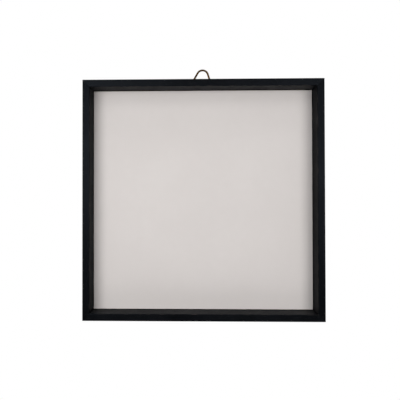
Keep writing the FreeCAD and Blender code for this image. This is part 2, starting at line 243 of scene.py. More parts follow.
class Effects:
    """Shader groups that more than one finish uses."""

    def build(self) -> None:
        """Make every shared group once."""
        self.mottle()
        self.fibres()
        self.handling()
        self.arris_wear()

    def start(self, name: str, inputs: dict[str, float | None],
              outputs: tuple[str, ...]) -> tuple[Graph, bpy.types.NodeOutputs, bpy.types.NodeInputs]:
        """Start a group.

        Args:
            name: The group's name.
            inputs: Its inputs with their first values, or None for a vector.
            outputs: The names of its values.

        Returns:
            The graph, the sockets of the group's inputs, and those of its results.
        """
        tree = bpy.data.node_groups.new(name, "ShaderNodeTree")
        for label, value in inputs.items():
            kind = "NodeSocketVector" if value is None else "NodeSocketFloat"
            socket = tree.interface.new_socket(label, in_out="INPUT", socket_type=kind)
            if value is not None:
                socket.default_value = value
        for label in outputs:
            tree.interface.new_socket(label, in_out="OUTPUT", socket_type="NodeSocketFloat")
        graph = Graph(tree)
        return graph, graph.node("NodeGroupInput").outputs, graph.node("NodeGroupOutput").inputs

    def mottle(self) -> None:
        """Broad and fine blotches, as a value around a half."""
        sizes = {"Position": None, "Scale": 60.0, "Fine": 0.3}
        graph, given, result = self.start("mottle", sizes, ("Value",))
        broad = graph.noise(given["Position"], given["Scale"], detail=2.0)
        closer = graph.math("MULTIPLY", given["Scale"], 9.0)
        fine = graph.noise(given["Position"], closer, detail=4.0)
        graph.feed(result["Value"], graph.mix(given["Fine"], broad, fine, "FLOAT"))

    def fibres(self) -> None:
        """Wood pores or paper fibres: noise read at a stretched position, as a height and as pores."""
        sizes = {"Position": None, "Scale": 900.0}
        graph, given, result = self.start("fibres", sizes, ("Height", "Pores"))
        body = graph.noise(given["Position"], given["Scale"], detail=5.0, rough=0.62)
        graph.feed(result["Height"], body)
        graph.feed(result["Pores"], graph.spread(body, 0.30, 0.44, (1.0, 0.0)))

    def handling(self) -> None:
        """Marks of handling, as masks: fine scratches, and specks of dust."""
        sizes = {"Position": None, "Scratch Scale": 260.0, "Dust Scale": 2600.0}
        graph, given, result = self.start("handling", sizes, ("Scratches", "Dust"))
        waves = graph.noise(given["Position"], given["Scratch Scale"], detail=6.0, warp=0.6)
        ridge = graph.math("ABSOLUTE", graph.math("SUBTRACT", waves, 0.5))
        graph.feed(result["Scratches"], graph.spread(ridge, 0.0, 0.012, (1.0, 0.0)))
        specks = graph.noise(given["Position"], given["Dust Scale"], detail=1.0)
        graph.feed(result["Dust"], graph.spread(specks, 0.68, 0.78))

    def arris_wear(self) -> None:
        """Rubbed arrises of a square tray of rails: a mask, broken up along their length."""
        sizes = {"Position": None, "Middle Height": 0.0, "Half Width": 0.0, "Face": 0.0, "Half Depth": 0.0,
                 "Reach": 0.0007}
        graph, given, result = self.start("arris_wear", sizes, ("Wear",))
        parts = graph.node("ShaderNodeSeparateXYZ", {0: given["Position"]}).outputs
        up = graph.math("ABSOLUTE", graph.math("SUBTRACT", parts["Z"], given["Middle Height"]))
        out = graph.math("MAXIMUM", graph.math("ABSOLUTE", parts["X"]), up)
        inset = graph.math("SUBTRACT", given["Half Width"], out)
        from_inner = graph.math("ABSOLUTE", graph.math("SUBTRACT", given["Face"], inset))
        from_side = graph.math("MINIMUM", graph.math("ABSOLUTE", inset), from_inner)
        depth = graph.math("SUBTRACT", given["Half Depth"], graph.math("ABSOLUTE", parts["Y"]))
        away = graph.math("MAXIMUM", from_side, graph.math("ABSOLUTE", depth))
        near = graph.spread(away, 0.0, given["Reach"], (1.0, 0.0), smooth=False)
        broken = graph.spread(graph.noise(given["Position"], 150.0, detail=5.0), 0.50, 0.68)
        graph.feed(result["Wear"], graph.math("MULTIPLY", near, broken))


# ---- Finishes ----

Colour = tuple[float, float, float, float]
Sockets = tuple[Socket, Socket, Socket]

DUST: Colour = (0.30, 0.29, 0.28, 1.0)


@dataclass(frozen=True)
class Finish:
    """A procedural finish: a Principled surface whose colour, roughness and height come from its nodes.

    Gloss is the shader's specular level. Tone_span and rough_span are the parts of the mottle over which the
    colour and the roughness go from their first value to their second.
    """

    name: str
    colour: Colour
    second: Colour
    rough: tuple[float, float]
    bump: float = 0.1 * MM
    gloss: float = 0.5
    tone_span: tuple[float, float] = (0.3, 0.7)
    rough_span: tuple[float, float] = (0.3, 0.7)

    def material(self) -> bpy.types.Material:
        """Make the material once, and return the same one afterwards.

        Returns:
            The material.
        """
        made = bpy.data.materials.get(self.name)
        if made is not None:
            return made
        made = bpy.data.materials.new(self.name)
        made.use_nodes = True
        made.diffuse_color = self.colour
        made.node_tree.nodes.clear()
        graph = Graph(made.node_tree)
        place = graph.node("ShaderNodeTexCoord").outputs["Object"]
        shader = graph.node("ShaderNodeBsdfPrincipled", {"Specular IOR Level": self.gloss})
        colour, rough, height = self.surface(graph, place, shader)
        graph.feed(shader.inputs["Base Color"], colour)
        graph.feed(shader.inputs["Roughness"], rough)
        relief = graph.node("ShaderNodeBump", {"Strength": 1.0, "Distance": self.bump, "Height": height})
        graph.feed(shader.inputs["Normal"], relief.outputs["Normal"])
        output = graph.node("ShaderNodeOutputMaterial")
        graph.feed(output.inputs["Surface"], shader.outputs["BSDF"])
        return made

    def surface(self, graph: Graph, place: Socket, shader: bpy.types.Node) -> Sockets:
        """Build what is particular to this finish.

        Args:
            graph: The material's graph.
            place: Object coordinates.
            shader: The Principled node, whose uniform values are set on its own sockets.

        Returns:
            The sockets of its colour, roughness and height.
        """
        raise NotImplementedError


@dataclass(frozen=True)
class BlackLacquer(Finish):
    """Satin black lacquer over open-grained timber, rubbed a little at the arrises.

    The grain is stretched along the rail, and grazing is how much rougher the lacquer looks from the side.
    """

    stretch: tuple[float, float, float] = (0.06, 1.0, 1.0)
    half_width: float = 125.0 * MM
    half_depth: float = 12.0 * MM
    face: float = 7.5 * MM
    gloss: float = 0.080
    tone_span: tuple[float, float] = (0.35, 0.65)
    rough_span: tuple[float, float] = (0.35, 0.65)
    grazing: float = 0.26
    sheen_tint: Colour = (0.70, 0.82, 1.0, 1.0)
    rubbed_timber: Colour = (0.075, 0.062, 0.055, 1.0)
    rubbing: float = 0.55
    rubbed_reach: float = 0.6 * MM
    dustiness: float = 0.10
    scratch_rough: float = 0.05
    grain_relief: float = 0.45
    pore_relief: float = 0.55
    peel_relief: float = 0.35

    def surface(self, graph: Graph, place: Socket, shader: bpy.types.Node) -> Sockets:
        """Build the lacquer. See Finish.surface."""
        shader.inputs["Specular Tint"].default_value = self.sheen_tint
        grain = graph.effect("fibres", Position=graph.stretch(place, self.stretch), Scale=1500.0).outputs
        cloud = graph.effect("mottle", Position=place, Scale=45.0, Fine=0.35).outputs[0]
        wear = graph.effect("arris_wear", Position=place, Middle_Height=self.half_width,
                            Half_Width=self.half_width, Face=self.face, Half_Depth=self.half_depth,
                            Reach=self.rubbed_reach).outputs[0]
        marks = graph.effect("handling", Position=place, Scratch_Scale=180.0, Dust_Scale=2200.0).outputs
        tone = graph.mix(graph.spread(cloud, *self.tone_span), self.colour, self.second)
        rubbed = graph.mix(graph.math("MULTIPLY", wear, self.rubbing), tone, self.rubbed_timber)
        dusty = graph.mix(graph.math("MULTIPLY", marks["Dust"], self.dustiness), rubbed, DUST)
        rough = graph.spread(cloud, *self.rough_span, self.rough)
        rough = graph.math("ADD", rough, graph.math("MULTIPLY", marks["Scratches"], self.scratch_rough))
        slant = graph.node("ShaderNodeLayerWeight", {0: 0.5}).outputs["Facing"]
        rough = graph.math("ADD", rough, graph.math("MULTIPLY", slant, self.grazing))
        sunk = graph.math("MULTIPLY", grain["Pores"], -self.pore_relief)
        height = graph.math("ADD", graph.math("MULTIPLY", grain["Height"], self.grain_relief), sunk)
        orange_peel = graph.math("MULTIPLY", graph.noise(place, 700.0, detail=2.0), self.peel_relief)
        return dusty, rough, graph.math("ADD", height, orange_peel)


@dataclass(frozen=True)
class MuseumBoard(Finish):
    """Pale warm-grey museum board: a paper tooth with faint fibres and flecks."""

    gloss: float = 0.25
    fleck: Colour = (0.30, 0.27, 0.24, 1.0)
    fleck_strength: float = 0.16
    tooth_relief: float = 0.6
    fibre_relief: float = 0.5

    def surface(self, graph: Graph, place: Socket, shader: bpy.types.Node) -> Sockets:
        """Build the board. See Finish.surface."""
        cloud = graph.effect("mottle", Position=place, Scale=14.0, Fine=0.25).outputs[0]
        felt = graph.effect("fibres", Position=graph.stretch(place, (1.0, 1.0, 0.35)), Scale=1800.0).outputs
        tone = graph.mix(graph.spread(cloud, *self.tone_span), self.colour, self.second)
        flecks = graph.spread(graph.noise(place, 3200.0, detail=1.0), 0.70, 0.76)
        tone = graph.mix(graph.math("MULTIPLY", flecks, self.fleck_strength), tone, self.fleck)
        tooth = graph.math("MULTIPLY", graph.noise(place, 4200.0), self.tooth_relief)
        height = graph.math("ADD", tooth, graph.math("MULTIPLY", felt["Height"], self.fibre_relief))
        return tone, graph.spread(cloud, *self.rough_span, self.rough), height


@dataclass(frozen=True)
class Hardboard(Finish):
    """Brown hardboard whose rear face keeps the weave of the press screen."""

    gloss: float = 0.3
    tone_span: tuple[float, float] = (0.33, 0.67)
    rear: float = 15.0 * MM
    screen_pitch: float = 1.5 * MM
    screen_depth: float = 0.2 * MM
    screen_relief: float = 0.50
    pulp_relief: float = 0.8
    pale_chip: Colour = (0.42, 0.30, 0.19, 1.0)
    chip_strength: float = 0.35
    dark_fibre: Colour = (0.07, 0.04, 0.022, 1.0)
    fibre_strength: float = 0.45

    def surface(self, graph: Graph, place: Socket, shader: bpy.types.Node) -> Sockets:
        """Build the hardboard. See Finish.surface."""
        cloud = graph.effect("mottle", Position=place, Scale=26.0, Fine=0.45).outputs[0]
        pulp = graph.effect("fibres", Position=graph.stretch(place, (0.5, 1.0, 1.0)), Scale=900.0).outputs
        tone = graph.mix(graph.spread(cloud, *self.tone_span), self.colour, self.second)
        chips = graph.spread(graph.noise(place, 1300.0, detail=4.0, rough=0.7), 0.58, 0.72)
        tone = graph.mix(graph.math("MULTIPLY", chips, self.chip_strength), tone, self.pale_chip)
        dark = graph.math("MULTIPLY", pulp["Pores"], self.fibre_strength)
        tone = graph.mix(dark, tone, self.dark_fibre)
        parts = graph.node("ShaderNodeSeparateXYZ", {0: place}).outputs
        turns = 2 * math.pi / self.screen_pitch
        waves = [graph.math("SINE", graph.math("MULTIPLY", parts[axis], turns)) for axis in ("X", "Z")]
        front = self.rear - self.screen_depth
        pressed = graph.spread(parts["Y"], front, self.rear, (0.0, self.screen_relief))
        weave = graph.math("MULTIPLY", graph.math("ADD", *waves), pressed)
        height = graph.math("ADD", weave, graph.math("MULTIPLY", pulp["Height"], self.pulp_relief))
        return tone, graph.spread(cloud, *self.rough_span, self.rough), height


@dataclass(frozen=True)
class Metal(Finish):
    """A plated or bare metal with blotches of tarnish and fine drawn marks.

    The second colour is the tarnish's, and edge tints what the metal mirrors from the side.
    """

    tone_span: tuple[float, float] = (0.40, 0.66)
    rough_span: tuple[float, float] = (0.35, 0.7)
    stretch: tuple[float, float, float] = (0.2, 1.0, 1.0)
    tarnish: float = 0.5
    edge: Colour = (1.0, 1.0, 1.0, 1.0)
    grime: Colour = (0.10, 0.09, 0.08, 1.0)
    griminess: float = 0.25
    scratch_rough: float = 0.10
    scratch_depth: float = 0.5

    def surface(self, graph: Graph, place: Socket, shader: bpy.types.Node) -> Sockets:
        """Build the metal. See Finish.surface."""
        shader.inputs["Metallic"].default_value = 1.0
        shader.inputs["Specular Tint"].default_value = self.edge
        cloud = graph.effect("mottle", Position=place, Scale=420.0, Fine=0.4).outputs[0]
        drawn = graph.effect("fibres", Position=graph.stretch(place, self.stretch), Scale=5200.0).outputs
        marks = graph.effect("handling", Position=place, Scratch_Scale=900.0, Dust_Scale=6000.0).outputs
        stain = graph.math("MULTIPLY", graph.spread(cloud, *self.tone_span), self.tarnish)
        tone = graph.mix(stain, self.colour, self.second)
        tone = graph.mix(graph.math("MULTIPLY", marks["Dust"], self.griminess), tone, self.grime)
        rough = graph.spread(cloud, *self.rough_span, self.rough)
        rough = graph.math("ADD", rough, graph.math("MULTIPLY", marks["Scratches"], self.scratch_rough))
        scored = graph.math("MULTIPLY", marks["Scratches"], self.scratch_depth)
        return tone, rough, graph.math("SUBTRACT", drawn["Height"], scored)


@dataclass(frozen=True)
class Rubber(Finish):
    """Soft black rubber with a fine moulded tooth and a bloom of dust."""

    gloss: float = 0.35
    dustiness: float = 0.3
    bloom: Colour = (0.30, 0.29, 0.27, 1.0)

    def surface(self, graph: Graph, place: Socket, shader: bpy.types.Node) -> Sockets:
        """Build the rubber. See Finish.surface."""
        cloud = graph.effect("mottle", Position=place, Scale=300.0, Fine=0.5).outputs[0]
        marks = graph.effect("handling", Position=place, Scratch_Scale=700.0, Dust_Scale=4200.0).outputs
        tone = graph.mix(graph.spread(cloud, *self.tone_span), self.colour, self.second)
        tone = graph.mix(graph.math("MULTIPLY", marks["Dust"], self.dustiness), tone, self.bloom)
        return tone, graph.spread(cloud, *self.rough_span, self.rough), graph.noise(place, 5200.0)


@dataclass(frozen=True)
class Paper(Finish):
    """Paper or tape: a nearly even tone with a faint creped tooth.

    The tooth is in cells per metre, and a cloud of the tone spans cloud_span of its cells.
    """

    gloss: float = 0.25
    tooth: float = 2400.0
    cloud_span: float = 40.0

    def surface(self, graph: Graph, place: Socket, shader: bpy.types.Node) -> Sockets:
        """Build the paper. See Finish.surface."""
        clouds = self.tooth / self.cloud_span
        cloud = graph.effect("mottle", Position=place, Scale=clouds, Fine=0.3).outputs[0]
        tone = graph.mix(graph.spread(cloud, *self.tone_span), self.colour, self.second)
        return tone, graph.spread(cloud, *self.rough_span, self.rough), graph.noise(place, self.tooth)


LACQUER_ACROSS = BlackLacquer("black_lacquer_across", (0.0015, 0.0017, 0.0022, 1),
                              (0.0024, 0.0026, 0.0034, 1), (0.34, 0.42), 0.012 * MM)
# The uprights' copy has a lower gloss, which darkens their faces and inner walls: painted shade for the side
# rails; only their grain turned upright is real.
LACQUER_UPRIGHT = replace(LACQUER_ACROSS, name="black_lacquer_upright", stretch=(1.0, 1.0, 0.06),
                          gloss=0.050)
BOARD = MuseumBoard("warm_grey_board", (0.640, 0.602, 0.584, 1), (0.662, 0.624, 0.606, 1), (0.72, 0.86),
                    0.02 * MM)
HARDBOARD = Hardboard("screened_hardboard", (0.200, 0.122, 0.068, 1), (0.285, 0.185, 0.108, 1),
                      (0.55, 0.75), 0.07 * MM)
BRASS = Metal("tarnished_brass", (0.240, 0.155, 0.056, 1), (0.060, 0.036, 0.015, 1), (0.30, 0.50),
              0.006 * MM, tarnish=0.80, edge=(0.80, 0.60, 0.34, 1))
# The ring's wire is far darker than the strap's brass: partly tarnish, partly painted shade that stands for
# the dim surroundings so thin a wire mirrors.
WIRE = Metal("browned_wire", (0.076, 0.036, 0.007, 1), (0.020, 0.009, 0.002, 1), (0.30, 0.48), 0.005 * MM,
             tarnish=0.70, edge=(0.30, 0.15, 0.04, 1))
ZINC = Metal("zinc_plate", (0.62, 0.63, 0.65, 1), (0.36, 0.36, 0.36, 1), (0.24, 0.42), 0.004 * MM)
NAIL_STEEL = Metal("bright_nail_steel", (0.40, 0.40, 0.42, 1), (0.16, 0.12, 0.10, 1), (0.30, 0.50),
                   0.004 * MM)
RUBBER = Rubber("dusty_rubber", (0.020, 0.020, 0.021, 1), (0.034, 0.034, 0.034, 1), (0.55, 0.75),
                0.02 * MM)
TAPE = Paper("liner_tape", (0.78, 0.75, 0.66, 1), (0.84, 0.81, 0.73, 1), (0.45, 0.6), 0.01 * MM)
FLOOR = Paper("studio_floor", (0.86, 0.86, 0.86, 1), (0.89, 0.89, 0.89, 1), (0.7, 0.85), 0.05 * MM,
              tooth=300.0)


def dress(piece: bpy.types.Object, finish: Finish) -> None:
    """Give a piece one finish."""
    piece.data.materials.clear()
    piece.data.materials.append(finish.material())


# ---- Modelling by hand ----

def begin(name: str, add: Callable, stretch: Vector | tuple[float, float, float] | None = None,
          **where: object) -> bpy.types.Object:
    """Add a primitive with nothing else selected, and bake its place into its mesh.

    Args:
        name: The piece's name.
        add: The primitive's operator.
        stretch: How much longer it gets along each axis, or None to leave it alone.
        **where: The operator's own settings.

    Returns:
        The new object, at the origin.
    """
    bpy.ops.object.select_all(action="DESELECT")
    add(**where)
    piece = bpy.context.object
    piece.name = name
    piece.data.name = name
    if stretch is not None:
        piece.scale = stretch
    bpy.ops.object.transform_apply(location=True, rotation=True, scale=True)
    return piece


@contextmanager
def editing(piece: bpy.types.Object) -> Iterator[None]:
    """Edit one piece's mesh, with nothing selected at first.

    Args:
        piece: The object.

    Yields:
        Nothing.
    """
    bpy.ops.object.select_all(action="DESELECT")
    bpy.context.view_layer.objects.active = piece
    piece.select_set(True)
    bpy.ops.object.mode_set(mode="EDIT")
    bpy.ops.mesh.select_mode(type="VERT")
    bpy.ops.mesh.select_all(action="DESELECT")
    try:
        yield
    finally:
        bpy.ops.object.mode_set(mode="OBJECT")


def choose(piece: bpy.types.Object, part: Part, test: Callable[..., bool]) -> None:
    """Select the edges or faces that pass a test, and nothing else.

    Args:
        piece: The object in edit mode.
        part: What is selected.
        test: Takes an edge or a face.
    """
    bpy.ops.mesh.select_all(action="DESELECT")
    bpy.ops.mesh.select_mode(type=part.name)
    mesh = bmesh.from_edit_mesh(piece.data)
    chosen = [item for item in getattr(mesh, part.value) if test(item)]
    for item in chosen:
        item.select_set(True)
    bmesh.update_edit_mesh(piece.data)


def ends(edge: bmesh.types.BMEdge) -> tuple[Vector, Vector]:
    """Places of an edge's two ends."""
    return edge.verts[0].co, edge.verts[1].co


def modify(piece: bpy.types.Object, kind: str, **settings: object) -> None:
    """Add a modifier and apply it.

    Args:
        piece: The object.
        kind: The modifier's type.
        **settings: Its properties.
    """
    bpy.ops.object.select_all(action="DESELECT")
    bpy.context.view_layer.objects.active = piece
    piece.select_set(True)
    made = piece.modifiers.new(kind.lower(), kind)
    for name, value in settings.items():
        setattr(made, name, value)
    bpy.ops.object.modifier_apply(modifier=made.name)


def smooth(piece: bpy.types.Object, degrees: float = 35.0, flat_faces: bool = False) -> None:
    """Clean a finished mesh and shade it smooth except across sharp edges.

    Args:
        piece: The object.
        degrees: The sharpest angle that is shaded smooth.
        flat_faces: Whether large faces stay flat up to their rounded edges.
    """
    with editing(piece):
        bpy.ops.mesh.select_all(action="SELECT")
        bpy.ops.mesh.remove_doubles(threshold=MERGE)
        bpy.ops.mesh.normals_make_consistent(inside=False)
    bpy.ops.object.shade_smooth_by_angle(angle=math.radians(degrees))
    if flat_faces:
        modify(piece, "WEIGHTED_NORMAL", mode="FACE_AREA", weight=100, keep_sharp=True)


def settle(piece: bpy.types.Object, body: Body, node: str, finish: Finish) -> None:
    """Dress a finished piece and let it stand for its CAD node.

    Args:
        piece: The object.
        body: The body that it rides on.
        node: The CAD node that it replaces.
        finish: Its finish.
    """
    dress(piece, finish)
    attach(piece, body.value)
    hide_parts(node)
    log.info("%s: %d faces", piece.name, len(piece.data.polygons))


def rails_box() -> tuple[Vector, Vector]:
    """Measure the tray that the four rails make.

    Returns:
        Its lowest and highest corners.
    """
    bottom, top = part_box("rail_bottom")[0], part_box("rail_top")[1]
    low = Vector((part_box("rail_left")[0].x, bottom.y, bottom.z))
    return low, Vector((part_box("rail_right")[1].x, top.y, top.z))


# ---- Sub-assemblies ----

@dataclass
class Rails:
    """Four lacquered timber rails, each an eased bar sawn at 45 degrees at both ends.

    Each bar starts longer than its rail by spare at both ends. It is trimmed at the mitre, and again by the
    planes of corner_cuts, in degrees, that round the frame's outer corner.
    """

    corner_round: float = 0.6 * MM
    corner_cuts: tuple[float, ...] = (22.5, 45.0)
    ease: float = 0.5 * MM
    ease_steps: int = 4
    seam: float = 0.09 * MM
    seam_steps: int = 2
    sharp: float = 20.0
    spare: float = 3.0 * MM
    low: Vector = field(init=False)
    high: Vector = field(init=False)
    face: float = field(init=False)

    def build(self) -> None:
        """Model the rails and put them in place of the CAD ones."""
        self.low, self.high = rails_box()
        self.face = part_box("rail_bottom")[1].z - self.low.z
        for side in Side:
            finish = LACQUER_UPRIGHT if side.upright else LACQUER_ACROSS
            settle(self.rail(side), Body.FRAME, side.node, finish)

    def rail(self, side: Side) -> bpy.types.Object:
        """Make one rail, with a fine seam round each mitre.

        Args:
            side: The rail's side.

        Returns:
            The rail.
        """
        middle, size = (self.low + self.high) / 2, self.high - self.low
        away = side.away
        along = Vector((away.z, 0.0, -away.x))
        reach = abs(away.dot(size)) / 2
        length = abs(along.dot(size))
        stretch = Vector((abs(away.x), 0.0, abs(away.z))) * self.face
        stretch += Vector((abs(along.x), 0.0, abs(along.z))) * (length + 2 * self.spare)
        stretch.y = size.y
        rail = begin(side.node.replace("rail", "moulded_rail"), bpy.ops.mesh.primitive_cube_add, size=1.0,
                     location=middle + away * (reach - self.face / 2), stretch=stretch)

        def arris(edge: bmesh.types.BMEdge) -> bool:
            """Whether an edge runs along the bar."""
            first, second = ends(edge)
            return abs((first - second).dot(along)) > length / 2

        with editing(rail):
            choose(rail, Part.EDGE, arris)
            bpy.ops.mesh.bevel(offset=self.ease, segments=self.ease_steps, affect="EDGES")
            for onward in (along, -along):
                corner = middle + away * reach + onward * length / 2
                across = (onward - away).normalized()
                self.trim(corner, across)
                for degrees in self.corner_cuts:
                    angle = math.radians(degrees)
                    facing = away * math.cos(angle) + onward * math.sin(angle)
                    touch = corner + (facing - away - onward) * self.corner_round
                    self.trim(touch, facing)

                def on_cut(edge: bmesh.types.BMEdge) -> bool:
                    """Whether an edge is a sharp one round the mitre."""
                    near = all(abs((end - corner).dot(across)) < TOUCH for end in ends(edge))
                    return near and edge.calc_face_angle(0.0) > math.radians(self.sharp)

                choose(rail, Part.EDGE, on_cut)
                bpy.ops.mesh.bevel(offset=self.seam, segments=self.seam_steps, affect="EDGES",
                                   clamp_overlap=True)
        smooth(rail, 50.0, flat_faces=True)
        return rail

    @staticmethod
    def trim(point: Vector, facing: Vector) -> None:
        """Cut away whatever of the mesh being edited lies beyond a plane, and close the cut.

        Args:
            point: A point of the plane.
            facing: The plane's normal, towards what is cut away.
        """
        bpy.ops.mesh.select_all(action="SELECT")
        bpy.ops.mesh.bisect(plane_co=point, plane_no=facing, use_fill=True, clear_outer=True,
                            threshold=MERGE)


@dataclass
class Liner:
    """The pale board in the tray, with soft cut edges and a face that isn't quite flat."""

    edge: float = 0.18 * MM
    edge_steps: int = 3
    bow: float = 0.12 * MM
    cuts: int = 24
    wave_across: tuple[float, float] = (2.1, 0.6)
    wave_up: tuple[float, float] = (1.7, -0.4)

    def build(self) -> None:
        """Model the board and put it in place of the CAD one."""
        low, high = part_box("liner_board")
        middle, size = (low + high) / 2, high - low
        board = begin("museum_board_panel", bpy.ops.mesh.primitive_cube_add, size=1.0, location=middle,
                      stretch=size)
        with editing(board):
            bpy.ops.mesh.select_all(action="SELECT")
            bpy.ops.mesh.bevel(offset=self.edge, segments=self.edge_steps, affect="EDGES")
            choose(board, Part.FACE, lambda face: face.normal.y < -FACING)
            bpy.ops.mesh.inset(thickness=self.edge)
            bpy.ops.mesh.subdivide(number_cuts=self.cuts)
            mesh = bmesh.from_edit_mesh(board.data)
            for vertex in mesh.verts:
                if not vertex.select or abs(vertex.co.y - low.y) > TOUCH:
                    continue
                across = (vertex.co.x - middle.x) / size.x * 2
                up = (vertex.co.z - middle.z) / size.z * 2
                hold = max(0.0, (1 - across**2) * (1 - up**2))
                swell = math.sin(self.wave_across[0] * across + self.wave_across[1])
                swell *= math.cos(self.wave_up[0] * up + self.wave_up[1])
                vertex.co.y += self.bow * hold * (1 + swell) / 2
            bmesh.update_edit_mesh(board.data)
        smooth(board, 50.0, flat_faces=True)
        settle(board, Body.FRAME, "liner_board", BOARD)


@dataclass
class WireRing:
    """The hanging ring: one length of wire, bent round a crown and two corners from the bar it turns on.

    Each leg leans by degrees from upright. The crown has crown_times the steps of a small bend, and the
    wire's ends are rounded by end_round of its radius.
    """

    radius: float = 1.0 * MM
    gap: float = 0.3 * MM
    height: float = 13.7 * MM
    crown: float = 6.0 * MM
    corner: float = 2.5 * MM
    crown_shift: float = 1.25 * MM
    left_lean: float = 30.0
    right_lean: float = 18.0
    round_steps: int = 24
    bend_steps: int = 14
    crown_times: int = 3
    end_round: float = 1 / 6
    end_angle: float = 60.0

    def build(self, hinge: Vector) -> None:
        """Bend the wire and put it in place of the CAD ring.

        Args:
            hinge: The middle of the bar.
        """
        ring = begin("wire_ring", bpy.ops.mesh.primitive_circle_add, vertices=self.round_steps,
                     radius=self.radius, location=hinge + Vector((self.gap / 2, 0, 0)),
                     rotation=(0, math.radians(90), 0))
        right, left = self.leg(1, self.right_lean), self.leg(-1, self.left_lean)
        crown_centre = Vector((self.crown_shift, 0, self.height - self.crown))
        with editing(ring):
            bpy.ops.mesh.select_all(action="SELECT")
            self.run(right["corner"] - Vector((self.gap / 2, 0, 0)))
            self.bend(hinge + right["corner"] + Vector((0, 0, self.corner)), 90 + self.right_lean)
            self.run(right["crown_end"] - right["leg_end"])
            self.bend(hinge + crown_centre, 180 - self.right_lean - self.left_lean, self.crown_times)
            self.run(left["leg_end"] - left["crown_end"])
            self.bend(hinge + left["corner"] + Vector((0, 0, self.corner)), 90 + self.left_lean)
            self.run(Vector((-self.gap / 2, 0, 0)) - left["corner"])
            choose(ring, Part.EDGE, lambda edge: len(edge.link_faces) == 1)
            bpy.ops.mesh.fill_holes(sides=0)
            choose(ring, Part.EDGE, lambda edge: edge.calc_face_angle(0.0) > math.radians(self.end_angle))
            bpy.ops.mesh.bevel(offset=self.radius * self.end_round, segments=2, affect="EDGES")
        smooth(ring, 40.0)
        settle(ring, Body.RING, "hanging_ring", WIRE)

    def leg(self, way: int, lean: float) -> dict[str, Vector]:
        """Work out where one leg meets its corner and the crown.

        Args:
            way: 1 for the right leg and -1 for the left.
            lean: The leg's angle from upright, in degrees.

        Returns:
            The places of its corner's start, its lower end and its upper end, from the middle of the bar.
        """
        slope = math.radians(lean)
        out = Vector((way * math.cos(slope), 0, math.sin(slope)))
        centre = Vector((self.crown_shift, 0, self.height - self.crown))
        inner = centre + out * (self.crown - self.corner)
        corner = Vector((inner.x + way * (inner.z - self.corner) * math.tan(slope), 0, 0))
        bend_centre = corner + Vector((0, 0, self.corner))
        return {"corner": corner, "leg_end": bend_centre + out * self.corner,
                "crown_end": centre + out * self.crown}

    def run(self, step: Vector) -> None:
        """Draw the wire on in a straight line, by a step."""
        bpy.ops.mesh.extrude_region_move(TRANSFORM_OT_translate={"value": step})

    def bend(self, centre: Vector, degrees: float, times: int = 1) -> None:
        """Bend the wire anticlockwise seen from the front, in some times the steps of a small bend."""
        bpy.ops.mesh.spin(steps=self.bend_steps * times, angle=math.radians(degrees), center=centre,
                          axis=(0, 1, 0))


@dataclass
class Strap:
    """The hanger's strap: a stamped plate with round ends, two countersunk holes and a rolled barrel."""

    gauge: float = 0.8 * MM
    stamped_edge: float = 0.12 * MM
    plate_height: float = 5.4 * MM
    hole_spacing: float = 17.0 * MM
    head: float = 2.05 * MM
    barrel_width: float = 8.0 * MM
    slit_angle: float = 32.0
    roll_steps: int = 40
    end_steps: int = 16
    hole_steps: int = 48
    edge_steps: int = 2
    edge_angle: float = 50.0

    def build(self, hinge: Vector) -> None:
        """Model the strap and put it in place of the CAD one.

        Args:
            hinge: The middle of the barrel.
        """
        low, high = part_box("hanger_strap")
        plate_middle = Vector((hinge.x, low.y + self.gauge / 2, low.z + self.plate_height / 2))
        plate = begin("strap_hanger", bpy.ops.mesh.primitive_cube_add, size=1.0, location=plate_middle,
                      stretch=(high.x - low.x, self.gauge, self.plate_height))
        with editing(plate):
            choose(plate, Part.EDGE, lambda edge: abs(ends(edge)[0].y - ends(edge)[1].y) > self.gauge / 2)
            bpy.ops.mesh.bevel(offset=self.plate_height / 2 - TOUCH, segments=self.end_steps,
                               affect="EDGES")
        for way in (-1, 1):
            place = plate_middle + Vector((way * self.hole_spacing / 2, 0, 0))
            cutter = begin("cutter", bpy.ops.mesh.primitive_cone_add, vertices=self.hole_steps,
                           radius1=self.head + self.gauge, radius2=self.head - 2 * self.gauge,
                           depth=3 * self.gauge, location=place, rotation=(math.radians(90), 0, 0))
            modify(plate, "BOOLEAN", operation="DIFFERENCE", object=cutter, solver="EXACT")
            bpy.data.objects.remove(cutter)
        roll = self.roll(hinge, plate_middle)
        modify(plate, "BOOLEAN", operation="UNION", object=roll, solver="EXACT")
        bpy.data.objects.remove(roll)
        modify(plate, "BEVEL", width=self.stamped_edge, segments=self.edge_steps, limit_method="ANGLE",
               angle_limit=math.radians(self.edge_angle))
        smooth(plate, 40.0, flat_faces=True)
        settle(plate, Body.FRAME, "hanger_strap", BRASS)

    def roll(self, hinge: Vector, plate_middle: Vector) -> bpy.types.Object:
        """Make the tongue and the barrel rolled from its end.

        Args:
            hinge: The middle of the barrel.
            plate_middle: The middle of the plate.

        Returns:
            The tongue, a closed strip that ends a slit short of itself.
        """
        tongue = begin("tongue", bpy.ops.mesh.primitive_plane_add, size=1.0, location=plate_middle,
                       stretch=(self.barrel_width, self.gauge, 1.0))
        with editing(tongue):
            bpy.ops.mesh.select_all(action="SELECT")
            rise = {"value": (0.0, 0.0, hinge.z - plate_middle.z)}
            bpy.ops.mesh.extrude_region_move(TRANSFORM_OT_translate=rise)
            bpy.ops.mesh.spin(steps=self.roll_steps, angle=math.radians(270 - self.slit_angle),
                              center=hinge, axis=(1, 0, 0))
        smooth(tongue)
        return tongue


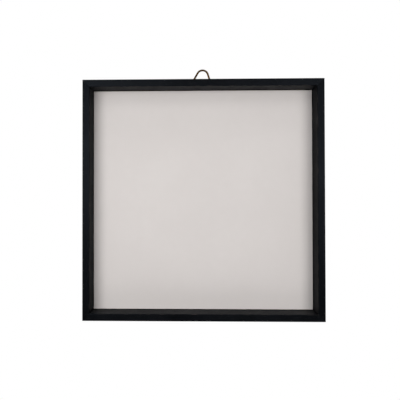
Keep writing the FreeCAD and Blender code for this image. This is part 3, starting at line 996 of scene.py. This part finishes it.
@dataclass
class Bumper:
    """A soft stick-on bumper: a foam disc with a rubber button on it, rounded and a little dished.

    The dish's rim and its slope are shares of the bumper's width.
    """

    pad_height: float = 0.8 * MM
    pad_inset: float = 0.35 * MM
    pad_steps: int = 4
    pad_profile: float = 0.15
    crown_round: float = 1.2 * MM
    crown_steps: int = 8
    dish: float = 0.15 * MM
    rim: float = 1 / 12
    slope: float = 1 / 24
    round_steps: int = 64

    def build(self, side: str) -> None:
        """Model one bumper and put it in place of the CAD one.

        Args:
            side: left or right.
        """
        low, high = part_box(f"wall_bumper_{side}")
        middle, size = (low + high) / 2, high - low
        button = begin(f"rubber_bumper_{side}", bpy.ops.mesh.primitive_cylinder_add,
                       vertices=self.round_steps, radius=size.x / 2, depth=size.y, location=middle,
                       rotation=(math.radians(90), 0, 0))
        with editing(button):
            bpy.ops.mesh.select_all(action="SELECT")
            seam = Vector((0.0, low.y + self.pad_height, 0.0))
            bpy.ops.mesh.bisect(plane_co=seam, plane_no=(0, 1, 0))
            bpy.ops.mesh.bevel(offset=self.pad_inset, segments=self.pad_steps, affect="EDGES",
                               profile=self.pad_profile)
            choose(button, Part.EDGE, lambda edge: all(end.y > high.y - TOUCH for end in ends(edge)))
            bpy.ops.mesh.bevel(offset=self.crown_round, segments=self.crown_steps, affect="EDGES")
            choose(button, Part.FACE,
                   lambda face: face.normal.y > FACING and len(face.verts) == self.round_steps)
            bpy.ops.mesh.inset(thickness=size.x * self.rim)
            bpy.ops.mesh.inset(thickness=size.x * self.slope)
            bpy.ops.transform.translate(value=(0.0, -self.dish, 0.0))
        smooth(button)
        settle(button, Body.FRAME, f"wall_bumper_{side}", RUBBER)


@dataclass
class Hardware:
    """The CAD pieces that keep their own shape and only take a finish.

    A node takes the finish of the first name here that its own name starts with.
    """

    finishes: tuple[tuple[str, Finish], ...] = (
        ("backboard", HARDBOARD), ("liner_tape", TAPE), ("corner_nails", NAIL_STEEL),
        ("screws_hanger", BRASS), ("screws", ZINC))

    def build(self, nodes: dict[str, bpy.types.Object]) -> None:
        """Dress the nodes.

        Args:
            nodes: The frame's CAD nodes.
        """
        for name, node in nodes.items():
            finish = next((made for start, made in self.finishes if name.startswith(start)), None)
            if finish is not None:
                dress(node, finish)
                log.info("%s takes %s", name, finish.name)


# ---- Studio ----

@dataclass(frozen=True)
class Softbox:
    """One soft rectangular light, aimed at the frame's middle."""

    name: str
    place: tuple[float, float, float]
    size: tuple[float, float]
    watts: float

    def build(self, target: Vector) -> None:
        """Hang the light.

        Args:
            target: What it is aimed at, from where its place is counted.
        """
        light = bpy.data.lights.new(self.name, "AREA")
        light.shape = "RECTANGLE"
        light.size, light.size_y = self.size
        light.energy = self.watts
        lamp = bpy.data.objects.new(self.name, light)
        bpy.context.scene.collection.objects.link(lamp)
        lamp.location = target + Vector(self.place)
        lamp.rotation_euler = (-Vector(self.place)).to_track_quat("-Z", "Y").to_euler()


@dataclass
class Studio:
    """Camera, lights, backdrop and floor. The camera's angles are in degrees and its lens in millimetres."""

    distance: float = 0.5257
    offset: tuple[float, float] = (-0.0119, 0.0049)
    yaw: float = -1.50
    pitch: float = 0.73
    roll: float = -0.08
    lens: float = 45.9
    sensor: float = 36.0
    shift: tuple[float, float] = (0.0548, -0.0285)
    clip: tuple[float, float] = (0.01, 50.0)
    floor_drop: float = 0.45
    floor_radius: float = 0.85
    floor_steps: int = 96
    backdrop: float = 1.0
    fill: float = 0.12
    fill_range: tuple[float, float] = (-0.5, 0.8)
    fill_below: float = 0.1
    fill_above: float = 1.3
    softboxes: tuple[Softbox, ...] = (
        Softbox("left_softbox", (-0.31, -0.59, 0.09), (0.32, 0.26), 2.22),
        Softbox("right_softbox", (0.36, -0.70, 0.07), (0.35, 0.28), 2.26),
        Softbox("high_softbox", (0.0, -0.80, 0.62), (0.9, 0.35), 1.6),
        Softbox("top_softbox", (0.0, -0.10, 1.22), (1.2, 1.0), 6.5),
        Softbox("rear_softbox", (0.35, 1.15, 0.45), (0.70, 0.50), 5.0),
        Softbox("left_side_softbox", (-0.66, 0.34, 0.16), (0.32, 0.40), 3.2),
        Softbox("right_side_softbox", (0.66, 0.34, 0.16), (0.32, 0.40), 3.2),
    )

    def build(self) -> None:
        """Set the scene round the frame."""
        low, high = rails_box()
        middle = (low + high) / 2
        self.camera(Vector((middle.x, low.y, middle.z)))
        self.world()
        self.floor(middle)
        for softbox in self.softboxes:
            softbox.build(middle)
        scene = bpy.context.scene
        scene.view_settings.view_transform = "Standard"
        scene.view_settings.look = "None"

    def camera(self, front: Vector) -> None:
        """Place the camera.

        Args:
            front: The middle of the frame's front face.
        """
        data = bpy.data.cameras.new("camera")
        data.lens = self.lens
        data.sensor_width = self.sensor
        data.shift_x, data.shift_y = self.shift
        data.clip_start, data.clip_end = self.clip
        camera = bpy.data.objects.new("camera", data)
        bpy.context.scene.collection.objects.link(camera)
        yaw, pitch, roll = (math.radians(angle) for angle in (self.yaw, self.pitch, self.roll))
        ahead = Vector((math.sin(yaw) * math.cos(pitch), math.cos(yaw) * math.cos(pitch),
                        math.sin(pitch)))
        level = Vector((math.cos(yaw), -math.sin(yaw), 0.0))
        upright = level.cross(ahead)
        right = level * math.cos(roll) + upright * math.sin(roll)
        up = upright * math.cos(roll) - level * math.sin(roll)
        camera.matrix_world = Matrix((right, up, -ahead)).transposed().to_4x4()
        camera.location = front + Vector((self.offset[0], -self.distance, self.offset[1]))
        bpy.context.scene.camera = camera

    def world(self) -> None:
        """Surround the frame with a white backdrop that gives a softer fill light, brighter above."""
        world = bpy.data.worlds.new("studio")
        bpy.context.scene.world = world
        world.use_nodes = True
        world.node_tree.nodes.clear()
        graph = Graph(world.node_tree)
        direction = graph.node("ShaderNodeTexCoord").outputs["Generated"]
        up = graph.node("ShaderNodeSeparateXYZ", {0: direction}).outputs["Z"]
        ends_at = (self.fill_below * self.fill, self.fill_above * self.fill)
        level = graph.spread(up, *self.fill_range, ends_at, smooth=False)
        seen = graph.node("ShaderNodeLightPath").outputs["Is Camera Ray"]
        strength = graph.mix(seen, level, self.backdrop, "FLOAT")
        shader = graph.node("ShaderNodeBackground", {"Color": (1.0, 1.0, 1.0, 1.0), "Strength": strength})
        output = graph.node("ShaderNodeOutputWorld")
        graph.feed(output.inputs["Surface"], shader.outputs["Background"])

    def floor(self, middle: Vector) -> None:
        """Lay a round pale floor below the hanging frame.

        Args:
            middle: The frame's middle.
        """
        floor = begin("floor", bpy.ops.mesh.primitive_circle_add, vertices=self.floor_steps,
                      radius=self.floor_radius, fill_type="NGON",
                      location=(middle.x, middle.y, -self.floor_drop))
        dress(floor, FLOOR)


def main() -> None:
    """Load the frame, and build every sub-assembly in order."""
    logging.basicConfig(level=logging.INFO, format="%(name)s: %(message)s")
    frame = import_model()
    hinge = Vector(frame["joints"][0]["pos_m"])
    Effects().build()
    Rails().build()
    Liner().build()
    WireRing().build(hinge)
    Strap().build(hinge)
    for side in ("left", "right"):
        Bumper().build(side)
    Hardware().build(frame["nodes"])
    Studio().build()


if __name__ == "__main__":
    main()
